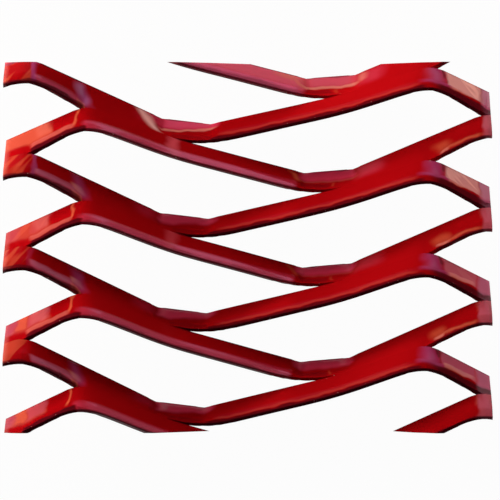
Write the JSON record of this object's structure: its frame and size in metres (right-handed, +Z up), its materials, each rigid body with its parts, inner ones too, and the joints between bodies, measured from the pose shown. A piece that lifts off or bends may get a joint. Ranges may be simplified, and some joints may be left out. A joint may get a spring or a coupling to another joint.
{
  "type": "expanded metal sheet",
  "caption": "Square-cut piece of raised expanded metal sheet: slanting strands on edge that meet in long knots around wide, flat-angled openings, in gloss red paint.",
  "frame": {"origin": "under the middle of the piece, on the surface it lies on", "axes": "+X along the strands (the long pitch), +Y across the rows of strands, +Z up out of the flat-lying sheet"},
  "size_m": [0.2036, 0.1552, 0.0308],
  "materials": {
    "red_paint": "gloss"
  },
  "bodies": {
    "root": {"expanded_sheet": "red_paint"}
  },
  "joints": []
}
